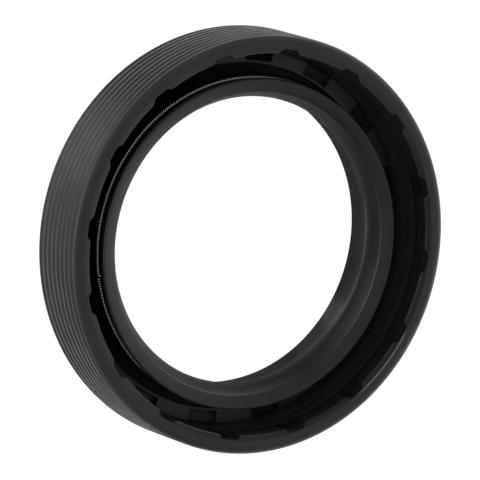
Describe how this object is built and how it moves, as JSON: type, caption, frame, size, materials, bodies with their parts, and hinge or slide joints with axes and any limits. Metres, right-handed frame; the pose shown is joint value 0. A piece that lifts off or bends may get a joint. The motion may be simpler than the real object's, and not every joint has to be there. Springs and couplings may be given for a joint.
{
  "type": "radial shaft seal",
  "caption": "Round lip seal for a rotating shaft: ribbed rubber outside, steel case ring inside, sealing lip held to the shaft by a garter spring.",
  "frame": {"origin": "centre of the flat back (air side) face, on which the seal lies", "axes": "+Z along the shaft axis, from the back face to the oil side, where the garter spring is; +X and +Y are any two radii, the first mould lug being 10.6 degrees round from +X"},
  "size_m": [0.0522, 0.0522, 0.01],
  "materials": {
    "rubber": "matt moulded, black",
    "coated_steel": "glossy black bonding coat",
    "spring_wire": "oiled drawn wire"
  },
  "bodies": {
    "root": {"rubber_body": "rubber", "steel_insert": "coated_steel", "garter_spring": "spring_wire"}
  },
  "joints": []
}
